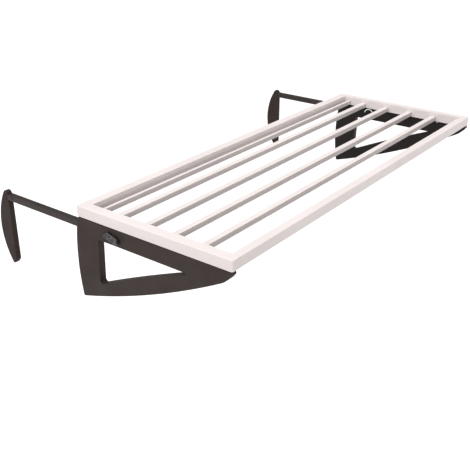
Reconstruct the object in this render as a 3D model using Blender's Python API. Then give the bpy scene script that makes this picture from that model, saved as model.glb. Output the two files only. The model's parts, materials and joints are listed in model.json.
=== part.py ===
"""Parapet clothes airer: a slatted frame on two fold-in brackets, hung from a wall top by two hook arms.

Metres, +Z up. X runs along the frame and +Y points at the parapet, so the user stands at -Y. The origin
lies midway between the arms, on the brackets' contact plane, at the level of the arms' undersides.
"""

import math

import bmesh
import bpy
from mathutils import Matrix, Vector

CLEAR = 0.0003
PAST = 0.001  # how far a cutting tool runs past the face it opens
ROOT = 0.001  # how deep a joined shape starts inside the shape it joins
FACE_ROUND = 0.0008

# Slatted frame
LENGTH = 1.000
FRAME_FRONT = -0.381
FRAME_DEPTH = 0.375
FRAME_BOTTOM = 0.0232
FRAME_HEIGHT = 0.0216
FRONT_RAIL_WIDTH = 0.018
BACK_RAIL_WIDTH = 0.022
END_RAIL_WIDTH = 0.022
OUTER_EDGE_ROUND = 0.0015
INNER_EDGE_ROUND = 0.0008
CORNER_ROUND = 0.0035
TENON_SIZE = 0.012
TENON_LENGTH = 0.010
FRAME_TOP = FRAME_BOTTOM + FRAME_HEIGHT
FRAME_BACK = FRAME_FRONT + FRAME_DEPTH
END_INNER = LENGTH / 2 - END_RAIL_WIDTH
SOCKET_END = END_INNER + TENON_LENGTH

# Drying bars
BAR_COUNT = 4
BAR_WIDTH = 0.014
BAR_HEIGHT = 0.0118
BAR_PITCH = 0.0682
BAR_INSET = 0.0805
BAR_BOTTOM = FRAME_BOTTOM + 0.0007
BAR_ROUND = 0.0015
REAR_BAR_WIDTH = 0.007
REAR_BAR_INSET = 0.3333

# Brackets: PLATE_OUTER and PLATE_INNER are distances from the middle of the frame
PLATE_OUTER = 0.502
PLATE_INNER = 0.486
PLATE_TOP = FRAME_BOTTOM - 0.001
PLATE_ROUND = 0.001
BACK_TOP = (-0.0088, PLATE_TOP)
BACK_BOTTOM = (-0.0075, -0.1518)
BACK_RISE = 0.0084
TOP_FRONT = (-0.3778, PLATE_TOP)
NOSE_TOP = (-0.3797, 0.0165)
NOSE_BOTTOM = (-0.3570, -0.0050)
NOSE_RISE = 0.002
BELLY_RISE = 0.0103
WINDOW_TOP = (-0.0625, -0.011)
WINDOW_BOTTOM = (-0.059, -0.1089)
WINDOW_FRONT = (-0.2856, -0.011)
SILL_RISE = 0.0022

# Fold hinges, whose axis is parallel to Y
HINGE_OUT = 0.482
HINGE_HEIGHT = FRAME_BOTTOM - 0.0064
HINGE_STARTS = {"front": -0.3565, "rear": -0.0785}
BARREL_RADIUS = 0.0034
PIN_RADIUS = 0.0015
PIN_HOLE_RADIUS = 0.0018
SCREW_ZONE = 0.010
EAR_WIDTH = 0.007
KNUCKLE_GAP = 0.022
LUG_LENGTH = 2 * SCREW_ZONE + 2 * EAR_WIDTH + KNUCKLE_GAP
LUG_BASE_TOP = FRAME_BOTTOM - CLEAR
LUG_BASE_BOTTOM = LUG_BASE_TOP - 0.002
RELIEF_HALF_WIDTH = 0.005
RELIEF_BOTTOM = HINGE_HEIGHT - 0.008
PIN_CHAMFER = 0.0004
SCREW_RADIUS = 0.0014
SCREW_HEAD_RADIUS = 0.0025
SCREW_HEAD_HEIGHT = 0.0015
SCREW_REACH = 0.009

# Sliding arms of square tube
TUBE_SIZE = 0.0127
TUBE_WALL = 0.0012
TUBE_MID_OUT = 0.494
TUBE_MID_HEIGHT = TUBE_SIZE / 2
TUBE_SIDE = TUBE_MID_OUT + TUBE_SIZE / 2
TUBE_ROUND = 0.0008
ARM_INNER_END = -0.146
CHANNEL_END = -0.311
HOOK_FACE = 0.205
SPIGOT_SIZE = TUBE_SIZE - 2 * TUBE_WALL - 2 * CLEAR
SPIGOT_LENGTH = 0.035
RIVET_SETBACK = 0.011
RIVET_RADIUS = 0.0015
RIVET_HEAD_RADIUS = 0.00275
RIVET_HEAD_HEIGHT = 0.0009
PLUG_FLANGE = 0.0015
PLUG_SPIGOT = 0.008

# Hooks. The head is set back a little from the face that meets the parapet
HOOK_THICKNESS = TUBE_SIZE
HOOK_EDGE = 0.0015
HEAD_FACE = HOOK_FACE + 0.0008
HEAD_TOP = 0.0195
HOOK_SHOULDER = (0.2165, HEAD_TOP)
HOOK_TIP = (0.2155, -0.1525)
HOOK_RISE = 0.0265
HOOK_FACE_TOP = -0.0050
HOOK_FACE_BOTTOM = -0.1400

# Clamp screws, whose axis is parallel to X; lengths along it are distances from the middle of the frame
CLAMP_Y = -0.105
OUTER_BOSS = (0.006, TUBE_SIDE + 0.0050)
INNER_BOSS = (0.015, PLATE_INNER - 0.004)
CLIP_RADII = (0.0118, 0.0142)
CLIP_THICKNESS = 0.0012
CLIP_ENDS = (math.radians(12), math.radians(158))
BORE_RADIUS = 0.0026
BORE_START = TUBE_SIDE - 0.001
INSERT = (0.0037, TUBE_SIDE + 0.0018, TUBE_SIDE + 0.0047)
INSERT_BORE_RADIUS = 0.0040
PAD = (0.0022, TUBE_SIDE + 0.0003, TUBE_SIDE + 0.0015)
STUD = (0.0023, TUBE_SIDE + 0.0018, TUBE_SIDE + 0.0107)
STUD_CHAMFER = 0.0005
KNOB_BACK = TUBE_SIDE + 0.0055
KNOB_FRONT = TUBE_SIDE + 0.0125
KNOB_WAIST = 0.0072
KNOB_WING = 0.0118
KNOB_TILT = math.radians(16)
KNOB_EDGE = 0.0018

# Colour, metallic value and roughness
FINISHES = {
    "white_plastic": ((0.90, 0.89, 0.88, 1), 0.0, 0.42),
    "brown_plastic": ((0.072, 0.058, 0.053, 1), 0.0, 0.55),
    "knob_plastic": ((0.050, 0.042, 0.040, 1), 0.0, 0.38),
    "brown_coated_steel": ((0.080, 0.064, 0.058, 1), 0.3, 0.45),
    "zinc_steel": ((0.62, 0.62, 0.60, 1), 1.0, 0.35),
    "brass": ((0.70, 0.50, 0.22, 1), 1.0, 0.35),
}


def clear_scene():
    for obj in list(bpy.data.objects):
        bpy.data.objects.remove(obj, do_unlink=True)


def make_materials():
    made = {}
    for name, (colour, metallic, roughness) in FINISHES.items():
        material = bpy.data.materials.new(name)
        material.use_nodes = True
        shader = material.node_tree.nodes["Principled BSDF"]
        shader.inputs["Base Color"].default_value = colour
        shader.inputs["Metallic"].default_value = metallic
        shader.inputs["Roughness"].default_value = roughness
        made[name] = material
    return made


# Outlines


def bow(start, end, rise, steps):
    """Points after start and before end on the arc between them, its middle `rise` to the right of the way."""
    start, end = Vector(start), Vector(end)
    chord = end - start
    right = Vector((chord.y, -chord.x)).normalized()
    radius = (chord.length_squared / 4 + rise**2) / (2 * rise)
    centre = (start + end) / 2 + right * (rise - radius)
    half = math.asin(chord.length / (2 * radius))
    points = []
    for step in range(1, steps):
        turn = half * (2 * step / steps - 1)
        points.append(centre + radius * (right * math.cos(turn) + chord.normalized() * math.sin(turn)))
    return [(point.x, point.y, 0.0) for point in points]


def rounded(corners, steps=5):
    """The outline through corners (a, b, radius), with each corner's radius as an arc."""
    outline = []
    for index, (a, b, radius) in enumerate(corners):
        at = Vector((a, b))
        if radius == 0:
            outline.append(at)
            continue
        before = (Vector(corners[index - 1][:2]) - at).normalized()
        after = (Vector(corners[(index + 1) % len(corners)][:2]) - at).normalized()
        half = before.angle(after) / 2
        centre = at + (before + after).normalized() * (radius / math.sin(half))
        first = at + before * (radius / math.tan(half)) - centre
        last = at + after * (radius / math.tan(half)) - centre
        turn = first.angle_signed(last)
        for step in range(steps + 1):
            spoke = first.copy()
            spoke.rotate(Matrix.Rotation(-turn * step / steps, 2))
            outline.append(centre + spoke)
    return [tuple(point) for point in outline]


def rectangle(centre, width, height, radius=0.0, steps=2):
    a, b = centre
    signs = ((-1, -1), (1, -1), (1, 1), (-1, 1))
    return rounded([(a + i * width / 2, b + j * height / 2, radius) for i, j in signs], steps)


# Solids, each added to a bmesh in world coordinates

AXES = {"x": (1, 2, 0), "y": (0, 2, 1), "z": (0, 1, 2)}


def on_axis(axis, a, b, along):
    """A point from its two outline coordinates and its place along the axis."""
    place = [0.0, 0.0, 0.0]
    for index, value in zip(AXES[axis], (a, b, along)):
        place[index] = value
    return Vector(place)


def prism(bm, axis, outline, low, high, holes=(), edge=0.0, keep_sharp=None):
    """Extrudes an outline along an axis. `edge` rounds its rims, apart from edges keep_sharp picks."""
    loops = []
    for loop in (outline, *holes):
        verts = [bm.verts.new(on_axis(axis, a, b, low)) for a, b in loop]
        loops += [bm.edges.new((verts[i - 1], verts[i])) for i in range(len(verts))]
    if holes:
        filled = bmesh.ops.triangle_fill(bm, use_beauty=True, edges=loops)["geom"]
        faces = [item for item in filled if isinstance(item, bmesh.types.BMFace)]
    else:
        faces = [bm.faces.new([edge_loop.verts[0] for edge_loop in loops])]
    grown = bmesh.ops.extrude_face_region(bm, geom=faces)["geom"]
    moved = [item for item in grown if isinstance(item, bmesh.types.BMVert)]
    bmesh.ops.translate(bm, verts=moved, vec=on_axis(axis, 0, 0, high - low))
    all_faces = set(faces) | {item for item in grown if isinstance(item, bmesh.types.BMFace)}
    all_faces |= {face for vert in moved for face in vert.link_faces}
    bmesh.ops.recalc_face_normals(bm, faces=list(all_faces))
    if edge:
        index = AXES[axis][2]
        rims = []
        for face in all_faces:
            for item in face.edges:
                flat = abs(item.verts[0].co[index] - item.verts[1].co[index]) < 1e-7
                if flat and item.calc_face_angle(0) > 1.0 and not (keep_sharp and keep_sharp(item)):
                    rims.append(item)
        bmesh.ops.bevel(
            bm, geom=list(set(rims)), offset=edge, segments=2, affect="EDGES", profile=0.5
        )


def box(bm, low, high):
    """A plain block between two corners, in any order."""
    made = bmesh.ops.create_cube(bm, size=1)["verts"]
    low, high = Vector(low), Vector(high)
    for vert in made:
        vert.co = Vector(
            [min(a, b) + (v + 0.5) * abs(b - a) for v, a, b in zip(vert.co, low, high)]
        )


def turned(bm, axis, centre, profile, sides=24, ring=False):
    """Turns a profile of (radius, place along the axis) about an axis through centre."""
    rows = []
    for radius, along in profile:
        if radius == 0:
            rows.append([bm.verts.new(on_axis(axis, *centre, along))])
            continue
        turns = [2 * math.pi * side / sides for side in range(sides)]
        rows.append(
            [
                bm.verts.new(
                    on_axis(
                        axis,
                        centre[0] + radius * math.cos(turn),
                        centre[1] + radius * math.sin(turn),
                        along,
                    )
                )
                for turn in turns
            ]
        )
    faces = []
    pairs = list(zip(rows, rows[1:])) + ([(rows[-1], rows[0])] if ring else [])
    for near, far in pairs:
        for side in range(sides):
            corners = [near[side % len(near)], near[(side + 1) % len(near)]]
            corners += [far[(side + 1) % len(far)], far[side % len(far)]]
            faces.append(bm.faces.new(list(dict.fromkeys(corners))))
    bmesh.ops.recalc_face_normals(bm, faces=faces)


def cylinder(bm, axis, centre, radius, low, high, sides=24):
    turned(bm, axis, centre, ((0, low), (radius, low), (radius, high), (0, high)), sides)


# Objects

materials = {}


def add_object(name, bm, joint, material=None):
    """Makes an object whose origin is its joint's empty, or the world's origin."""
    mesh = bpy.data.meshes.new(name)
    offset = joint.matrix_world.translation if joint else Vector()
    bm.transform(Matrix.Translation(-offset))
    bm.to_mesh(mesh)
    bm.free()
    obj = bpy.data.objects.new(name, mesh)
    bpy.context.scene.collection.objects.link(obj)
    obj.parent = joint
    if material:
        mesh.materials.append(materials[material])
        mesh.shade_smooth()
        mesh.set_sharp_from_angle(angle=math.radians(35))
    return obj


def combine(obj, operation, build):
    """Joins to obj, or cuts from it, the solids that build(bm) makes. They stay apart from each other."""
    bm = bmesh.new()
    build(bm)
    tool = add_object(f"{obj.name}_{operation.lower()}_{len(obj.modifiers)}", bm, obj.parent)
    tool.hide_render = True
    tool.display_type = "WIRE"
    modifier = obj.modifiers.new(tool.name, "BOOLEAN")
    modifier.operation = operation
    modifier.solver = "EXACT"
    modifier.object = tool


def add_joint(name, at, parent=None):
    joint = bpy.data.objects.new(name, None)
    bpy.context.scene.collection.objects.link(joint)
    joint.empty_display_size = 0.02
    joint.parent = parent
    joint.location = Vector(at) - (parent.matrix_world.translation if parent else Vector())
    bpy.context.view_layer.update()
    return joint


# Frame


def bar_starts():
    """(name, front face, width) of each drying bar, from the front."""
    bars = []
    for index in range(BAR_COUNT):
        start = FRAME_FRONT + BAR_INSET + index * BAR_PITCH
        bars.append((f"drying_bar_{index + 1}", start, BAR_WIDTH))
    bars.append(("rear_drying_bar", FRAME_FRONT + REAR_BAR_INSET, REAR_BAR_WIDTH))
    return bars


def add_bar(name, start, width):
    bm = bmesh.new()
    centre = (start + width / 2, BAR_BOTTOM + BAR_HEIGHT / 2)
    outline = rectangle(centre, width, BAR_HEIGHT, BAR_ROUND)
    prism(bm, "x", outline, CLEAR - SOCKET_END, SOCKET_END - CLEAR)
    add_object(name, bm, None, "white_plastic")


def add_long_rail(name, outer, inner):
    """A long rail between its outer and inner faces, with a tenon at each end."""
    end = END_INNER - CLEAR
    corners = [
        (outer, FRAME_BOTTOM, INNER_EDGE_ROUND),
        (inner, FRAME_BOTTOM, INNER_EDGE_ROUND),
        (inner, FRAME_TOP, INNER_EDGE_ROUND),
        (outer, FRAME_TOP, OUTER_EDGE_ROUND),
    ]
    bm = bmesh.new()
    prism(bm, "x", rounded(corners, 3), -end, end)
    rail = add_object(name, bm, None, "white_plastic")
    middle = ((outer + inner) / 2, FRAME_BOTTOM + FRAME_HEIGHT / 2)

    def tenons(bm):
        for side in (-1, 1):
            ends = sorted((side * (end - ROOT), side * (SOCKET_END - CLEAR)))
            prism(bm, "x", rectangle(middle, TENON_SIZE, TENON_SIZE), *ends)

    combine(rail, "UNION", tenons)


def add_end_rail(word, side):
    """An end rail over the frame's whole depth, with sockets for the rails and bars."""
    outer, inner = side * LENGTH / 2, side * END_INNER
    corners = [
        (outer, FRAME_FRONT, CORNER_ROUND),
        (inner, FRAME_FRONT, 0),
        (inner, FRAME_BACK, 0),
        (outer, FRAME_BACK, CORNER_ROUND),
    ]

    def inner_or_bottom(edge):
        at_inner = all(abs(vert.co.x - inner) < 1e-6 for vert in edge.verts)
        return at_inner or edge.verts[0].co.z < FRAME_BOTTOM + 1e-6

    bm = bmesh.new()
    prism(
        bm, "z", rounded(corners, 4), FRAME_BOTTOM, FRAME_TOP, edge=OUTER_EDGE_ROUND, keep_sharp=inner_or_bottom
    )
    rail = add_object(f"{word}_end_rail", bm, None, "white_plastic")

    def sockets(bm):
        reach = (side * (END_INNER - PAST), side * SOCKET_END)
        for middle in (FRAME_FRONT + FRONT_RAIL_WIDTH / 2, FRAME_BACK - BACK_RAIL_WIDTH / 2):
            low = middle - TENON_SIZE / 2 - CLEAR
            bottom = FRAME_BOTTOM + (FRAME_HEIGHT - TENON_SIZE) / 2 - CLEAR
            size = TENON_SIZE + 2 * CLEAR
            box(bm, (reach[0], low, bottom), (reach[1], low + size, bottom + size))
        for _, start, width in bar_starts():
            low = (reach[0], start - CLEAR, BAR_BOTTOM - CLEAR)
            high = (reach[1], start + width + CLEAR, BAR_BOTTOM + BAR_HEIGHT + CLEAR)
            box(bm, low, high)
        for place in screw_places():
            bottom, top = FRAME_BOTTOM - PAST, FRAME_BOTTOM + SCREW_REACH
            cylinder(bm, "z", (side * HINGE_OUT, place), SCREW_RADIUS + CLEAR, bottom, top, 12)

    combine(rail, "DIFFERENCE", sockets)


# Hinges


def screw_places():
    """Where the screws stand along Y, in pairs, one pair to a lug."""
    places = []
    for start in HINGE_STARTS.values():
        places += [start + SCREW_ZONE / 2, start + LUG_LENGTH - SCREW_ZONE / 2]
    return places


def half_round(middle, top):
    """A strap's section in X and Z: straight sides down from top, and round under the hinge's axis."""
    outline = [(middle + BARREL_RADIUS, top), (middle - BARREL_RADIUS, top)]
    for step in range(9):
        turn = math.pi + math.pi * step / 8
        outline.append(
            (middle + BARREL_RADIUS * math.cos(turn), HINGE_HEIGHT + BARREL_RADIUS * math.sin(turn))
        )
    return outline


def add_hinge(word, side, place, start):
    """A lug with two ears under the end rail, its pin, and the two screws that hold it."""
    middle = side * HINGE_OUT
    bm = bmesh.new()
    prism(bm, "y", half_round(middle, LUG_BASE_TOP), start, start + LUG_LENGTH)
    lug = add_object(f"{word}_{place}_hinge_lug", bm, None, "brown_plastic")
    first_ear = start + SCREW_ZONE
    second_ear = first_ear + EAR_WIDTH + KNUCKLE_GAP

    def reliefs(bm):
        spans = (
            (start - PAST, first_ear),
            (first_ear + EAR_WIDTH, second_ear),
            (second_ear + EAR_WIDTH, start + LUG_LENGTH + PAST),
        )
        for low, high in spans:
            inner, outer = middle - RELIEF_HALF_WIDTH, middle + RELIEF_HALF_WIDTH
            box(bm, (inner, low, RELIEF_BOTTOM), (outer, high, LUG_BASE_BOTTOM))

    def holes(bm):
        ends = (first_ear - PAST, second_ear + EAR_WIDTH + PAST)
        cylinder(bm, "y", (middle, HINGE_HEIGHT), PIN_HOLE_RADIUS, *ends, 16)
        for y in (start + SCREW_ZONE / 2, start + LUG_LENGTH - SCREW_ZONE / 2):
            cylinder(bm, "z", (middle, y), SCREW_RADIUS + CLEAR, LUG_BASE_BOTTOM - PAST, FRAME_BOTTOM, 12)

    combine(lug, "DIFFERENCE", reliefs)
    combine(lug, "DIFFERENCE", holes)

    bm = bmesh.new()
    low, high = first_ear, second_ear + EAR_WIDTH
    profile = (
        (0, low),
        (PIN_RADIUS - PIN_CHAMFER, low),
        (PIN_RADIUS, low + PIN_CHAMFER),
        (PIN_RADIUS, high - PIN_CHAMFER),
        (PIN_RADIUS - PIN_CHAMFER, high),
        (0, high),
    )
    turned(bm, "y", (middle, HINGE_HEIGHT), profile, 20)
    add_object(f"{word}_{place}_hinge_pin", bm, None, "zinc_steel")

    for number, y in enumerate((start + SCREW_ZONE / 2, start + LUG_LENGTH - SCREW_ZONE / 2), 1):
        bm = bmesh.new()
        seat = LUG_BASE_BOTTOM - CLEAR
        tip = FRAME_BOTTOM + SCREW_REACH - 2 * CLEAR
        profile = (
            (0, seat - SCREW_HEAD_HEIGHT),
            (SCREW_HEAD_RADIUS * 0.65, seat - SCREW_HEAD_HEIGHT),
            (SCREW_HEAD_RADIUS, seat - SCREW_HEAD_HEIGHT * 0.45),
            (SCREW_HEAD_RADIUS, seat),
            (SCREW_RADIUS, seat),
            (SCREW_RADIUS, tip - 2 * SCREW_RADIUS),
            (0, tip),
        )
        turned(bm, "z", (middle, y), profile, 12)
        add_object(f"{word}_{place}_hinge_screw_{number}", bm, None, "zinc_steel")


# Brackets


def bracket_outline():
    """The side plate in Y and Z. Its bowed back edge is faced flat where it meets the parapet."""
    back = [(min(y, 0.0), z, radius) for y, z, radius in bow(BACK_BOTTOM, BACK_TOP, BACK_RISE, 14)]
    belly = bow(NOSE_BOTTOM, BACK_BOTTOM, BELLY_RISE, 20)
    nose = [(*TOP_FRONT, 0.0015), (*NOSE_TOP, 0.003), *bow(NOSE_TOP, NOSE_BOTTOM, NOSE_RISE, 6)]
    corners = [(*NOSE_BOTTOM, 0.012), *belly, (*BACK_BOTTOM, 0.0035), *back, (*BACK_TOP, 0.0045)]
    return rounded(nose + corners, 4)


def window_outline():
    """The opening in the plate: a triangle with round corners and a sill that bows up a little."""
    sill = bow(WINDOW_BOTTOM, WINDOW_FRONT, SILL_RISE, 12)
    return rounded([(*WINDOW_TOP, 0.004), (*WINDOW_BOTTOM, 0.0055), *sill, (*WINDOW_FRONT, 0.0010)])


def clip_outline():
    """A half ring over the top of the inner boss, in Y and Z."""
    outline = []
    first, last = CLIP_ENDS
    for radius, start, end in zip(CLIP_RADII, (first, last), (last, first)):
        for step in range(17):
            turn = start + (end - start) * step / 16
            outline.append(
                (CLAMP_Y + radius * math.cos(turn), TUBE_MID_HEIGHT + radius * math.sin(turn))
            )
    return outline


def add_bracket(word, side, joint):
    bm = bmesh.new()
    faces = sorted((side * PLATE_INNER, side * PLATE_OUTER))
    prism(bm, "x", bracket_outline(), *faces, holes=[window_outline()], edge=PLATE_ROUND)
    bracket = add_object(f"{word}_bracket", bm, joint, "brown_plastic")
    clamp = (CLAMP_Y, TUBE_MID_HEIGHT)

    def knuckles_and_bosses(bm):
        for start in HINGE_STARTS.values():
            low = start + SCREW_ZONE + EAR_WIDTH + CLEAR
            high = low + KNUCKLE_GAP - 2 * CLEAR
            plate = side * (PLATE_INNER + ROOT)
            outline = [(plate, HINGE_HEIGHT + BARREL_RADIUS), (plate, HINGE_HEIGHT - BARREL_RADIUS)]
            for step in range(9):
                turn = math.pi * step / 8 - math.pi / 2
                out = HINGE_OUT - BARREL_RADIUS * math.cos(turn)
                outline.append((side * out, HINGE_HEIGHT + BARREL_RADIUS * math.sin(turn)))
            prism(bm, "y", outline, low, high)
        for (radius, end), face in ((OUTER_BOSS, PLATE_OUTER - ROOT), (INNER_BOSS, PLATE_INNER + ROOT)):
            step = math.copysign(FACE_ROUND, face - end)
            rim = [(radius, end + step), (radius - FACE_ROUND, end)]
            profile = [(0, face), (radius, face), *rim, (0, end)]
            turned(bm, "x", clamp, [(r, side * out) for r, out in profile], 32)

    def channel(bm):
        half = TUBE_SIZE / 2 + CLEAR
        low = (side * (TUBE_MID_OUT - half), CHANNEL_END, TUBE_MID_HEIGHT - half)
        high = (side * (TUBE_MID_OUT + half), PAST, TUBE_MID_HEIGHT + half)
        box(bm, low, high)

    def bores(bm):
        step = INSERT[1] - CLEAR
        profile = [
            (0, BORE_START),
            (BORE_RADIUS, BORE_START),
            (BORE_RADIUS, step),
            (INSERT_BORE_RADIUS, step),
            (INSERT_BORE_RADIUS, OUTER_BOSS[1] + PAST),
            (0, OUTER_BOSS[1] + PAST),
        ]
        turned(bm, "x", clamp, [(r, side * out) for r, out in profile], 20)
        for start in HINGE_STARTS.values():
            low = start + SCREW_ZONE + EAR_WIDTH - PAST
            high = low + KNUCKLE_GAP + 2 * PAST
            cylinder(bm, "y", (side * HINGE_OUT, HINGE_HEIGHT), PIN_HOLE_RADIUS, low, high, 16)

    combine(bracket, "UNION", knuckles_and_bosses)
    combine(bracket, "DIFFERENCE", channel)
    combine(bracket, "DIFFERENCE", bores)

    bm = bmesh.new()
    radius, low, high = INSERT
    profile = [(radius, low), (radius, high), (BORE_RADIUS, high), (BORE_RADIUS, low)]
    turned(bm, "x", clamp, [(r, side * out) for r, out in profile], 20, ring=True)
    add_object(f"{word}_clamp_insert", bm, joint, "brass")

    bm = bmesh.new()
    back = INNER_BOSS[1] - CLEAR
    prism(bm, "x", clip_outline(), *sorted((side * back, side * (back - CLIP_THICKNESS))), edge=0.0003)
    add_object(f"{word}_boss_clip", bm, joint, "zinc_steel")


# Arms and hooks


def hook_outline():
    """The blade in Y and Z: a straight face for the parapet, a bowed outer edge and a round head."""
    outer = bow(HOOK_TIP, HOOK_SHOULDER, HOOK_RISE, 18)
    face = [(HOOK_FACE, HOOK_FACE_TOP, 0), (HOOK_FACE, HOOK_FACE_BOTTOM, 0.010)]
    head = [(*HOOK_SHOULDER, 0.004), (HEAD_FACE, HEAD_TOP, 0.007), (HEAD_FACE, HOOK_FACE_TOP + 0.002, 0)]
    return rounded(head + face + [(*HOOK_TIP, 0.004)] + outer)


def add_arm(word, side, joint):
    middle = (side * TUBE_MID_OUT, TUBE_MID_HEIGHT)
    far_end = HEAD_FACE - CLEAR
    rivet = (HOOK_FACE - RIVET_SETBACK, TUBE_MID_HEIGHT)
    past_side = TUBE_SIZE / 2 + PAST
    wide = (side * (TUBE_MID_OUT - past_side), side * (TUBE_MID_OUT + past_side))

    bm = bmesh.new()
    prism(bm, "y", rectangle(middle, TUBE_SIZE, TUBE_SIZE, TUBE_ROUND), ARM_INNER_END, far_end)
    tube = add_object(f"{word}_arm_tube", bm, joint, "brown_coated_steel")
    hollow = TUBE_SIZE - 2 * TUBE_WALL

    def inside(bm):
        prism(bm, "y", rectangle(middle, hollow, hollow), ARM_INNER_END - PAST, far_end + PAST)

    def rivet_hole(bm):
        cylinder(bm, "x", rivet, RIVET_RADIUS + CLEAR, *sorted(wide), 16)

    combine(tube, "DIFFERENCE", inside)
    combine(tube, "DIFFERENCE", rivet_hole)

    bm = bmesh.new()
    faces = sorted(side * (TUBE_MID_OUT + half) for half in (-HOOK_THICKNESS / 2, HOOK_THICKNESS / 2))
    prism(bm, "x", hook_outline(), *faces, edge=HOOK_EDGE)
    hook = add_object(f"{word}_hook", bm, joint, "brown_plastic")

    def spigot(bm):
        outline = rectangle(middle, SPIGOT_SIZE, SPIGOT_SIZE)
        prism(bm, "y", outline, HOOK_FACE - SPIGOT_LENGTH, HEAD_FACE + ROOT)

    combine(hook, "UNION", spigot)
    combine(hook, "DIFFERENCE", rivet_hole)

    bm = bmesh.new()
    half = TUBE_SIZE / 2 + CLEAR
    profile = []
    for sign in (-1, 1):
        top = [
            (0, half + RIVET_HEAD_HEIGHT),
            (RIVET_HEAD_RADIUS * 0.6, half + RIVET_HEAD_HEIGHT),
            (RIVET_HEAD_RADIUS, half + RIVET_HEAD_HEIGHT * 0.3),
            (RIVET_HEAD_RADIUS, half),
            (RIVET_RADIUS, half),
        ]
        profile += [(r, side * TUBE_MID_OUT + sign * out) for r, out in top[::-sign]]
    turned(bm, "x", rivet, profile, 16)
    add_object(f"{word}_hook_rivet", bm, joint, "brown_coated_steel")

    bm = bmesh.new()
    seat = ARM_INNER_END - CLEAR
    prism(bm, "y", rectangle(middle, TUBE_SIZE, TUBE_SIZE, TUBE_ROUND), seat - PLUG_FLANGE, seat)
    plug = add_object(f"{word}_arm_end_plug", bm, joint, "knob_plastic")

    def plug_spigot(bm):
        outline = rectangle(middle, SPIGOT_SIZE, SPIGOT_SIZE)
        prism(bm, "y", outline, seat - PLUG_FLANGE / 2, ARM_INNER_END + PLUG_SPIGOT)

    combine(plug, "UNION", plug_spigot)


# Clamps


def knob_outline(side):
    """Two wings on a round waist, tilted so that the front wing is the lower one."""
    outline = []
    for step in range(40):
        turn = 2 * math.pi * step / 40
        radius = KNOB_WAIST + KNOB_WING * math.cos(turn) ** 4
        along, up = radius * math.cos(turn), radius * math.sin(turn)
        y = CLAMP_Y + along * math.cos(KNOB_TILT) - up * math.sin(KNOB_TILT)
        z = TUBE_MID_HEIGHT + along * math.sin(KNOB_TILT) + up * math.cos(KNOB_TILT)
        outline.append((y, z))
    return outline


def add_clamp(word, side, travel, turn):
    clamp = (CLAMP_Y, TUBE_MID_HEIGHT)
    bm = bmesh.new()
    radius, low, high = PAD
    cylinder(bm, "x", clamp, radius, *sorted((side * low, side * high)))
    add_object(f"{word}_clamp_pad", bm, travel, "brass")

    bm = bmesh.new()
    radius, low, high = STUD
    profile = [(0, low), (radius * 0.8, low), (radius, low + STUD_CHAMFER), (radius, high), (0, high)]
    turned(bm, "x", clamp, [(r, side * out) for r, out in profile], 20)
    add_object(f"{word}_clamp_stud", bm, turn, "zinc_steel")

    bm = bmesh.new()
    faces = sorted((side * KNOB_BACK, side * KNOB_FRONT))
    prism(bm, "x", knob_outline(side), *faces, edge=KNOB_EDGE)
    knob = add_object(f"{word}_clamp_knob", bm, turn, "knob_plastic")

    def stud_hole(bm):
        ends = sorted((side * (KNOB_BACK - PAST), side * (STUD[2] + CLEAR)))
        cylinder(bm, "x", clamp, STUD[0] + CLEAR, *ends, 20)

    combine(knob, "DIFFERENCE", stud_hole)


def main():
    clear_scene()
    materials.update(make_materials())
    add_long_rail("front_rail", FRAME_FRONT, FRAME_FRONT + FRONT_RAIL_WIDTH)
    add_long_rail("back_rail", FRAME_BACK, FRAME_BACK - BACK_RAIL_WIDTH)
    for bar in bar_starts():
        add_bar(*bar)
    for word, side in (("left", -1), ("right", 1)):
        add_end_rail(word, side)
        for place, start in HINGE_STARTS.items():
            add_hinge(word, side, place, start)
        fold = add_joint(f"{word}_fold_axis", (side * HINGE_OUT, 0, HINGE_HEIGHT))
        slide = add_joint(f"{word}_arm_axis", (side * TUBE_MID_OUT, 0, TUBE_MID_HEIGHT), fold)
        at_clamp = (side * PLATE_OUTER, CLAMP_Y, TUBE_MID_HEIGHT)
        travel = add_joint(f"{word}_clamp_travel_axis", at_clamp, fold)
        turn = add_joint(f"{word}_knob_axis", at_clamp, travel)
        add_bracket(word, side, fold)
        add_arm(word, side, slide)
        add_clamp(word, side, travel, turn)


main()
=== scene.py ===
"""Looks for the parapet drying rack: finishes, finer pieces, studio light and the camera.

Metres, +Z up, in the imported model's own frame. X runs along the rack and +Y points at the parapet.
"""

import json
import math

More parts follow.
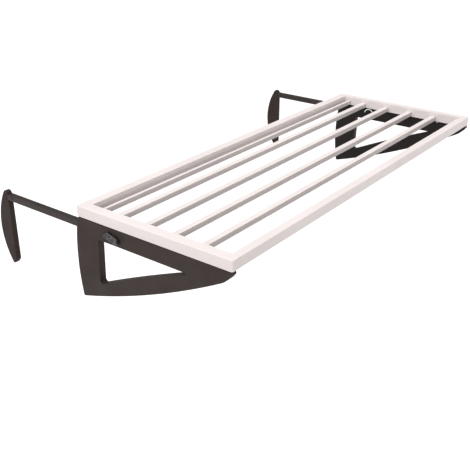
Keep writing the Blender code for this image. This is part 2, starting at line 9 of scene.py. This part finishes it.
import bmesh
import bpy
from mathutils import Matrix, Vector

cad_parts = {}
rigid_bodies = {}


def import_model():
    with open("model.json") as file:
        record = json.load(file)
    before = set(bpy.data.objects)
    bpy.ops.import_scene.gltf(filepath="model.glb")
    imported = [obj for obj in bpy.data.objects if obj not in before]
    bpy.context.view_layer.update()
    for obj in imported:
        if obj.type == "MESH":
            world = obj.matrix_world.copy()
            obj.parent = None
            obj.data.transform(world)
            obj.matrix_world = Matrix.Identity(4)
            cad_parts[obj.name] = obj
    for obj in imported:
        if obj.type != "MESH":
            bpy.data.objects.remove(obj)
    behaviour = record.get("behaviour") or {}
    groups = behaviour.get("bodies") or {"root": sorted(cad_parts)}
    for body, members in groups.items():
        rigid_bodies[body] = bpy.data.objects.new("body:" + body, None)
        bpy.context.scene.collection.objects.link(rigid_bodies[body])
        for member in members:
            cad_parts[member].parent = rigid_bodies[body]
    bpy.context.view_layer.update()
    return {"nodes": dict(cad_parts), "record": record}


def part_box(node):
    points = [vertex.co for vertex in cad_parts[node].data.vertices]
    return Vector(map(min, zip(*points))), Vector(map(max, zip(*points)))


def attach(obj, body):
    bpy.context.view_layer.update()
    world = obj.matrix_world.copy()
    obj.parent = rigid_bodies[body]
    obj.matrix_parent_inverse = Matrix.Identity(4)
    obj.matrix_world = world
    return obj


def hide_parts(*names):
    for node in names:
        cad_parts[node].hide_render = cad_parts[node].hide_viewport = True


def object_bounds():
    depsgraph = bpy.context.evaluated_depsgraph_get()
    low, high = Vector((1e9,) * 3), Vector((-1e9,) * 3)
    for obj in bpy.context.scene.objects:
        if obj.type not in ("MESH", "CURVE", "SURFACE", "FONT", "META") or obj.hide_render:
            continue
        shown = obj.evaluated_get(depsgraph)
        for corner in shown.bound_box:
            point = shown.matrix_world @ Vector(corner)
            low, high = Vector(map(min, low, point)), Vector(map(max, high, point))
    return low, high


# Camera
CAMERA_PLACE = (-1.3632, -1.0443, 0.6201)
CAMERA_YAW = 37.32
CAMERA_PITCH = -25.87
CAMERA_LENS = 57.906
CAMERA_SENSOR = 36.0

# Stage and light
FLOOR_DROP = 0.55
FLOOR_SIZE = 60.0
FLOOR_WHITE = 0.88
SKY_STRENGTH = 0.37
SKY_TINT = (1.0, 0.93, 0.91, 1.0)
TOP_STRENGTH = 3.05
TOP_SPREAD = math.radians(70)
TOP_TILT = (0.0, math.radians(-8), 0.0)
LIGHT_TARGET = (0, -0.19, 0)
# Name, place, width and height, and power in watts
AREA_LIGHTS = (
    ("left_softbox", (-4.5, 0.2, 0.9), (2.5, 1.5), 102),
    ("front_strip", (0.3, -4.5, 0.1), (3.0, 0.5), 72),
)

# Edges between faces that turn by more than this stay crisp
CRISP = math.radians(38)
# Corners nearer than WELD are joined, and facets that turn by less than FLAT become one face
WELD = 1e-6
FLAT = math.radians(0.5)

# Bracket: its inner faces point this squarely inwards, this far from the outer face, and take the darker
# brown that is painted shade
PAINTED_SHADE_FACING = 0.7
PAINTED_SHADE_SETBACK = 0.012

# Clamp knob. Heights are shares of its depth, and rings are shares of its radius from the middle out
KNOB_WAIST = 0.0072
KNOB_WING = 0.0118
KNOB_TILT = math.radians(16)
KNOB_SPOKES = 96
KNOB_RIM = 0.0022
KNOB_HUB = 0.0062
KNOB_LOBE = 0.0165
KNOB_LOBE_SPREAD = 0.0052
KNOB_LOBE_HEIGHT = 0.75
KNOB_SCOOP_HEIGHT = 0.62
KNOB_BORE = 0.0028
KNOB_BORE_HEIGHT = 0.70
KNOB_RINGS = (0.12, 0.24, 0.36, 0.46, 0.56, 0.66, 0.75, 0.82, 0.87, 0.91, 0.945, 0.97, 0.987, 0.997)
KNOB_SIDE = ((1.0, 0.30), (1.0, 0.12), (0.985, 0.03), (0.95, 0.0))

# Hinge screws. The rim, dome and shank are shares of the head's radius, and the root is one of the shank's
SCREW_SIDES = 32
SCREW_RIM = 0.4
SCREW_DOME = 0.2
SCREW_SHANK = 0.56
THREAD_PITCH = 0.0011
THREAD_ROOT = 0.8
POINT_LENGTH = 2
CROSS_WIDTH = 0.0007
CROSS_REACH = 0.0016
CROSS_DEPTH = 0.0009
CROSS_TAPER = 0.45
PAST = 0.001


def clear_scene():
    for obj in list(bpy.data.objects):
        bpy.data.objects.remove(obj, do_unlink=True)


# Materials


class Surface:
    """A material under construction: short names for its nodes and links."""

    def __init__(self, name):
        self.material = bpy.data.materials.new(name)
        self.material.use_nodes = True
        self.nodes = self.material.node_tree.nodes
        self.links = self.material.node_tree.links
        self.shader = self.nodes["Principled BSDF"]
        self.place = self.nodes.new("ShaderNodeTexCoord").outputs["Object"]

    def stretched(self, scale):
        node = self.nodes.new("ShaderNodeMapping")
        node.inputs["Scale"].default_value = scale
        self.links.new(self.place, node.inputs["Vector"])
        return node.outputs["Vector"]

    def noise(self, scale, detail=3.0, roughness=0.5, stretch=None):
        node = self.nodes.new("ShaderNodeTexNoise")
        node.inputs["Scale"].default_value = scale
        node.inputs["Detail"].default_value = detail
        node.inputs["Roughness"].default_value = roughness
        self.links.new(self.stretched(stretch) if stretch else self.place, node.inputs["Vector"])
        return node.outputs["Fac"]

    def cells(self, scale):
        node = self.nodes.new("ShaderNodeTexVoronoi")
        node.inputs["Scale"].default_value = scale
        self.links.new(self.place, node.inputs["Vector"])
        return node.outputs["Distance"]

    def ramp(self, factor, stops):
        node = self.nodes.new("ShaderNodeValToRGB")
        elements = node.color_ramp.elements
        while len(elements) < len(stops):
            elements.new(0.5)
        for element, (position, colour) in zip(elements, stops):
            element.position = position
            element.color = (*colour, 1)
        self.links.new(factor, node.inputs["Fac"])
        return node.outputs["Color"]

    def spread(self, factor, low, high):
        """The factor, which runs from about 0.3 to 0.7, as a value from low to high."""
        node = self.nodes.new("ShaderNodeMapRange")
        node.inputs["From Min"].default_value = 0.3
        node.inputs["From Max"].default_value = 0.7
        node.inputs["To Min"].default_value = low
        node.inputs["To Max"].default_value = high
        self.links.new(factor, node.inputs["Value"])
        return node.outputs["Result"]

    def add(self, first, second, share):
        """first + share * second."""
        node = self.nodes.new("ShaderNodeMath")
        node.operation = "MULTIPLY_ADD"
        node.inputs[1].default_value = share
        self.links.new(second, node.inputs[0])
        self.links.new(first, node.inputs[2])
        return node.outputs["Value"]

    def colour(self, output):
        self.links.new(output, self.shader.inputs["Base Color"])

    def roughness(self, output):
        self.links.new(output, self.shader.inputs["Roughness"])

    def bump(self, height, distance, strength=1.0):
        node = self.nodes.new("ShaderNodeBump")
        node.inputs["Distance"].default_value = distance
        node.inputs["Strength"].default_value = strength
        self.links.new(height, node.inputs["Height"])
        self.links.new(node.outputs["Normal"], self.shader.inputs["Normal"])

    def set(self, **values):
        for name, value in values.items():
            self.shader.inputs[name.replace("_", " ")].default_value = value


def white_profile(name, stretch):
    """Satin white rail stock, with faint draw lines along its length and a trace of warm unevenness."""
    made = Surface(name)
    cloud = made.noise(9.0, 4.0)
    made.colour(made.ramp(cloud, ((0.30, (0.685, 0.638, 0.628)), (0.70, (0.720, 0.673, 0.664)))))
    made.roughness(made.spread(made.noise(60.0, 3.0), 0.36, 0.50))
    lines = made.noise(1.0, 2.0, stretch=stretch)
    made.bump(made.add(lines, made.noise(1400.0, 2.0), 0.25), 0.00006)
    made.set(IOR=1.46, Specular_IOR_Level=0.45)
    return made.material


def moulded(name, dark, light, rough, grain, shine=0.28):
    """Moulded plastic: a fine spark-eroded grain over a slightly uneven colour."""
    made = Surface(name)
    cloud = made.noise(14.0, 5.0, 0.6)
    made.colour(made.ramp(cloud, ((0.30, dark), (0.72, light))))
    made.roughness(made.spread(made.noise(35.0, 4.0), *rough))
    fine = made.add(made.cells(1500.0), made.noise(2600.0, 2.0), 0.6)
    made.bump(fine, grain, 0.8)
    made.set(IOR=1.48, Specular_IOR_Level=shine)
    return made.material


def powder_coat(name, dark, light):
    """Powder coat on steel: orange peel, smoother than the plastic."""
    made = Surface(name)
    made.colour(made.ramp(made.noise(22.0, 4.0), ((0.30, dark), (0.70, light))))
    made.roughness(made.spread(made.noise(180.0, 2.0), 0.48, 0.60))
    made.bump(made.noise(900.0, 1.0), 0.00012, 0.7)
    made.set(IOR=1.5, Specular_IOR_Level=0.25)
    return made.material


def bare_metal(name, dark, light, rough):
    """Turned metal with a fine uneven polish."""
    made = Surface(name)
    made.colour(made.ramp(made.noise(120.0, 4.0), ((0.30, dark), (0.70, light))))
    made.roughness(made.spread(made.noise(700.0, 3.0), *rough))
    made.bump(made.noise(2200.0, 2.0), 0.00003, 0.6)
    made.set(Metallic=1.0)
    return made.material


def make_materials():
    return {
        "rail_x": white_profile("rail_white_x", (3.0, 900.0, 900.0)),
        "rail_y": white_profile("rail_white_y", (900.0, 3.0, 900.0)),
        "bracket": moulded(
            "bracket_brown", (0.0285, 0.0200, 0.0180),
            (0.0375, 0.0275, 0.0245), (0.56, 0.68), 0.00010, shine=0.17
        ),
        # A much darker brown than the bracket's own: painted shade, worn by the brackets' inner faces and by
        # the lugs and plugs
        "inner_painted_shade": moulded(
            "inner_painted_shade_brown", (0.009, 0.007, 0.0065), (0.013, 0.0105, 0.010), (0.72, 0.85), 0.00014
        ),
        "hook": moulded(
            "hook_brown", (0.029, 0.0200, 0.0180), (0.039, 0.0275, 0.0250), (0.55, 0.66), 0.00010, shine=0.12
        ),
        "knob": moulded(
            "knob_brown", (0.009, 0.007, 0.0065), (0.014, 0.011, 0.010), (0.24, 0.34), 0.00005, shine=0.5
        ),
        "arm": powder_coat("arm_brown", (0.020, 0.015, 0.0135), (0.029, 0.022, 0.020)),
        "zinc": bare_metal("zinc_plate", (0.50, 0.50, 0.49), (0.68, 0.68, 0.66), (0.24, 0.40)),
        "brass": bare_metal("turned_brass", (0.58, 0.40, 0.16), (0.74, 0.55, 0.26), (0.25, 0.38)),
    }


# Pieces


def add_piece(name, bm, body, material):
    mesh = bpy.data.meshes.new(name)
    bm.to_mesh(mesh)
    bm.free()
    mesh.shade_smooth()
    mesh.set_sharp_from_angle(angle=CRISP)
    mesh.materials.append(material)
    piece = bpy.data.objects.new(name, mesh)
    bpy.context.scene.collection.objects.link(piece)
    normals = piece.modifiers.new("even_normals", "WEIGHTED_NORMAL")
    normals.keep_sharp = True
    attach(piece, body)
    return piece


def welded(node):
    """A bmesh of a CAD node's surface with its facets joined, so that its rounds shade as rounds."""
    source = frame["nodes"][node].data
    bm = bmesh.new()
    verts = [bm.verts.new(vert.co) for vert in source.vertices]
    for face in source.polygons:
        bm.faces.new([verts[index] for index in face.vertices])
    bmesh.ops.remove_doubles(bm, verts=bm.verts[:], dist=WELD)
    bmesh.ops.dissolve_limit(bm, angle_limit=FLAT, verts=bm.verts[:], edges=bm.edges[:])
    return bm


def node_body(node):
    return next(body for body, nodes in bodies.items() if node in nodes)


def refine(node, material):
    """Shows a CAD node through a piece of the same shape, smoothly shaded and in its own finish."""
    piece = add_piece(f"{node}_finish", welded(node), node_body(node), material)
    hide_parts(node)
    return piece


def refine_bracket(word, side):
    """A bracket, whose inner faces take a much darker, coarser-grained brown: painted shade."""
    piece = refine(f"{word}_bracket", surfaces["bracket"])
    piece.data.materials.append(surfaces["inner_painted_shade"])
    low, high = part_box(f"{word}_bracket")
    outer = low.x if side < 0 else high.x
    for face in piece.data.polygons:
        if face.normal.x * side < -PAINTED_SHADE_FACING and abs(face.center.x - outer) > PAINTED_SHADE_SETBACK:
            # Inner faces get the second material, the darker brown of painted shade
            face.material_index = 1


def knob_radius(turn):
    return KNOB_WAIST + KNOB_WING * math.cos(turn) ** 4


def knob_height(share, turn):
    """How far the knob's front stands out, from 0 to 1: a domed hub, scooped wings and a round rim."""
    radius = share * knob_radius(turn)
    hub = math.exp(-((radius / KNOB_HUB) ** 4))
    lobe = math.exp(-(((radius - KNOB_LOBE) / KNOB_LOBE_SPREAD) ** 2)) * math.cos(turn) ** 4
    crown = KNOB_SCOOP_HEIGHT + (1 - KNOB_SCOOP_HEIGHT) * max(hub, KNOB_LOBE_HEIGHT * lobe)
    rim = max(0.0, share - (1 - KNOB_RIM / knob_radius(turn))) * knob_radius(turn) / KNOB_RIM
    return crown * math.sqrt(max(0.0, 1 - rim**2)) if rim < 1 else 0.0


def add_knob(word, side):
    """The wing knob, from its back face out to a crowned front."""
    node = f"{word}_clamp_knob"
    low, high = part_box(node)
    centre = (low + high) / 2
    back = (high.x if side < 0 else low.x) - centre.x
    depth = high.x - low.x
    bm = bmesh.new()

    def point(share, turn, out):
        radius = share * knob_radius(turn)
        along, up = radius * math.cos(turn), radius * math.sin(turn)
        y = along * math.cos(KNOB_TILT) - up * math.sin(KNOB_TILT)
        z = along * math.sin(KNOB_TILT) + up * math.cos(KNOB_TILT)
        return bm.verts.new(centre + Vector((back + side * out * depth, y, z)))

    turns = [2 * math.pi * step / KNOB_SPOKES for step in range(KNOB_SPOKES)]
    rows = [[point(share, turn, knob_height(share, turn)) for turn in turns] for share in KNOB_RINGS]
    rows += [[point(share, turn, out) for turn in turns] for share, out in KNOB_SIDE]
    for out in (0.0, KNOB_BORE_HEIGHT):
        rows.append([point(KNOB_BORE / knob_radius(turn), turn, out) for turn in turns])
    for near, far in zip(rows, rows[1:]):
        for step in range(KNOB_SPOKES):
            after = (step + 1) % KNOB_SPOKES
            bm.faces.new((near[step], near[after], far[after], far[step]))
    for row in (rows[0], rows[-1]):
        bm.faces.new(row)
    bmesh.ops.recalc_face_normals(bm, faces=bm.faces[:])
    piece = add_piece(f"{word}_wing_knob", bm, node_body(node), surfaces["knob"])
    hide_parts(node)


def add_screw(node):
    """A pan-head screw with a cross recess, its head downwards."""
    low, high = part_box(node)
    centre = (low + high) / 2
    head = (high.x - low.x) / 2
    shank = SCREW_SHANK * head
    root = THREAD_ROOT * shank
    tip = high.z
    rim = low.z + SCREW_DOME * head
    seat = rim + SCREW_RIM * head
    dome = [
        (head * math.sin(turn), rim - SCREW_DOME * head * math.cos(turn))
        for turn in (math.pi * step / 12 for step in range(1, 7))
    ]
    profile = [(0.0, low.z)] + dome + [(head, seat), (shank, seat)]
    thread = seat + THREAD_PITCH
    while thread < tip - (POINT_LENGTH + 0.4) * shank:
        crest, end = thread + THREAD_PITCH * 0.3, thread + THREAD_PITCH * 0.6
        profile += [(root, thread), (shank, crest), (root, end)]
        thread += THREAD_PITCH
    profile += [(root, tip - POINT_LENGTH * shank), (0.0, tip)]
    bm = bmesh.new()
    turn_profile(bm, profile, centre.xy, SCREW_SIDES)
    cut_cross(bm, centre.xy, low.z)
    piece = add_piece(f"{node}_cross_head", bm, node_body(node), surfaces["zinc"])
    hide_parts(node)


def turn_profile(bm, profile, centre, sides):
    """Turns (radius, height) points about a vertical axis through centre."""
    rows = []
    for radius, z in profile:
        turns = [2 * math.pi * side / sides for side in range(sides if radius else 1)]
        rows.append(
            [
                bm.verts.new((centre[0] + radius * math.cos(t), centre[1] + radius * math.sin(t), z))
                for t in turns
            ]
        )
    for near, far in zip(rows, rows[1:]):
        for side in range(sides):
            corners = [near[side % len(near)], near[(side + 1) % len(near)]]
            corners += [far[(side + 1) % len(far)], far[side % len(far)]]
            bm.faces.new(list(dict.fromkeys(corners)))
    bmesh.ops.recalc_face_normals(bm, faces=bm.faces[:])


def cut_cross(bm, centre, bottom):
    """Cuts a cross recess up into the screw head with a Boolean, and leaves the result in bm."""
    shapes = []
    for wide, deep in ((CROSS_REACH, CROSS_WIDTH / 2), (CROSS_WIDTH / 2, CROSS_REACH)):
        mesh = bpy.data.meshes.new("cross_arm")
        arm = bmesh.new()
        for vert in bmesh.ops.create_cube(arm, size=2)["verts"]:
            taper = CROSS_TAPER if vert.co.z > 0 else 1.0
            vert.co.x = centre[0] + vert.co.x * (wide * taper if wide > deep else wide)
            vert.co.y = centre[1] + vert.co.y * (deep * taper if deep > wide else deep)
            vert.co.z = bottom + (CROSS_DEPTH if vert.co.z > 0 else -PAST)
        arm.to_mesh(mesh)
        arm.free()
        cutter = bpy.data.objects.new("cross_arm", mesh)
        bpy.context.scene.collection.objects.link(cutter)
        shapes.append(cutter)
    mesh = bpy.data.meshes.new("screw_blank")
    bm.to_mesh(mesh)
    blank = bpy.data.objects.new("screw_blank", mesh)
    bpy.context.scene.collection.objects.link(blank)
    for cutter in shapes:
        cut = blank.modifiers.new("cross", "BOOLEAN")
        cut.operation = "DIFFERENCE"
        cut.solver = "EXACT"
        cut.object = cutter
    bpy.context.view_layer.update()
    result = blank.evaluated_get(bpy.context.evaluated_depsgraph_get()).to_mesh()
    bm.clear()
    bm.from_mesh(result)
    for obj in (*shapes, blank):
        bpy.data.objects.remove(obj, do_unlink=True)


# Stage


def add_floor():
    """The white floor. Diffuse rays pass it by, so that it lights nothing from below."""
    low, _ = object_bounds()
    bm = bmesh.new()
    bmesh.ops.create_grid(bm, x_segments=1, y_segments=1, size=FLOOR_SIZE / 2)
    bmesh.ops.translate(bm, verts=bm.verts[:], vec=(0, 0, low[2] - FLOOR_DROP))
    mesh = bpy.data.meshes.new("floor")
    bm.to_mesh(mesh)
    bm.free()
    made = Surface("floor_white")
    shade = FLOOR_WHITE
    tint = ((0.3, (shade, shade, shade)), (0.7, (shade + 0.01, shade + 0.01, shade + 0.01)))
    made.colour(made.ramp(made.noise(2.0), tint))
    made.set(Roughness=0.9, Specular_IOR_Level=0.0)
    mesh.materials.append(made.material)
    floor = bpy.data.objects.new("floor", mesh)
    bpy.context.scene.collection.objects.link(floor)
    floor.visible_diffuse = False


def add_area_light(name, place, size, power):
    light = bpy.data.lights.new(name, "AREA")
    light.shape = "RECTANGLE"
    light.size, light.size_y = size
    light.energy = power
    lamp = bpy.data.objects.new(name, light)
    lamp.location = place
    lamp.rotation_euler = (Vector(LIGHT_TARGET) - Vector(place)).to_track_quat("-Z", "Y").to_euler()
    bpy.context.scene.collection.objects.link(lamp)


def add_top_light():
    """A wide overhead source, so far off that the whole floor is evenly lit."""
    light = bpy.data.lights.new("overhead", "SUN")
    light.energy = TOP_STRENGTH
    light.angle = TOP_SPREAD
    lamp = bpy.data.objects.new("overhead", light)
    lamp.rotation_euler = TOP_TILT
    bpy.context.scene.collection.objects.link(lamp)


def add_light():
    """The lamps, and a tinted sky that the camera itself sees as plain white."""
    world = bpy.data.worlds.new("studio")
    world.use_nodes = True
    nodes, links = world.node_tree.nodes, world.node_tree.links
    sky = nodes["Background"]
    sky.inputs["Color"].default_value = SKY_TINT
    sky.inputs["Strength"].default_value = SKY_STRENGTH
    backdrop = nodes.new("ShaderNodeBackground")
    backdrop.inputs["Color"].default_value = (1, 1, 1, 1)
    mix = nodes.new("ShaderNodeMixShader")
    links.new(nodes.new("ShaderNodeLightPath").outputs["Is Camera Ray"], mix.inputs["Fac"])
    links.new(sky.outputs["Background"], mix.inputs[1])
    links.new(backdrop.outputs["Background"], mix.inputs[2])
    links.new(mix.outputs["Shader"], nodes["World Output"].inputs["Surface"])
    bpy.context.scene.world = world
    add_top_light()
    for lamp in AREA_LIGHTS:
        add_area_light(*lamp)


def add_camera():
    camera = bpy.data.cameras.new("camera")
    camera.sensor_width = CAMERA_SENSOR
    camera.lens = CAMERA_LENS
    camera.clip_end = 100.0
    viewer = bpy.data.objects.new("camera", camera)
    viewer.location = CAMERA_PLACE
    pitch, yaw = math.radians(CAMERA_PITCH), math.radians(CAMERA_YAW)
    viewer.rotation_euler = (math.pi / 2 + pitch, 0, yaw - math.pi / 2)
    bpy.context.scene.collection.objects.link(viewer)
    bpy.context.scene.camera = viewer
    bpy.context.scene.view_settings.view_transform = "Standard"


clear_scene()
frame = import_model()
bodies = frame["record"]["behaviour"]["bodies"]
surfaces = make_materials()

for node in sorted(frame["nodes"]):
    if "_end_rail" in node:
        refine(node, surfaces["rail_y"])
    elif "_rail" in node or "drying_bar" in node:
        refine(node, surfaces["rail_x"])
    elif "_hinge_screw" in node:
        add_screw(node)
    elif node.endswith(("_hinge_pin", "_stud", "_clip")):
        refine(node, surfaces["zinc"])
    elif node.endswith(("_insert", "_pad")):
        refine(node, surfaces["brass"])
    elif node.endswith(("_tube", "_rivet")):
        refine(node, surfaces["arm"])
    # Lugs and plugs take the same darker brown that is painted shade on the brackets' inner faces
    elif node.endswith(("_lug", "_plug")):
        refine(node, surfaces["inner_painted_shade"])
    elif node.endswith("_hook"):
        refine(node, surfaces["hook"])
for word, side in (("left", -1), ("right", 1)):
    refine_bracket(word, side)
    add_knob(word, side)

add_floor()
add_light()
add_camera()
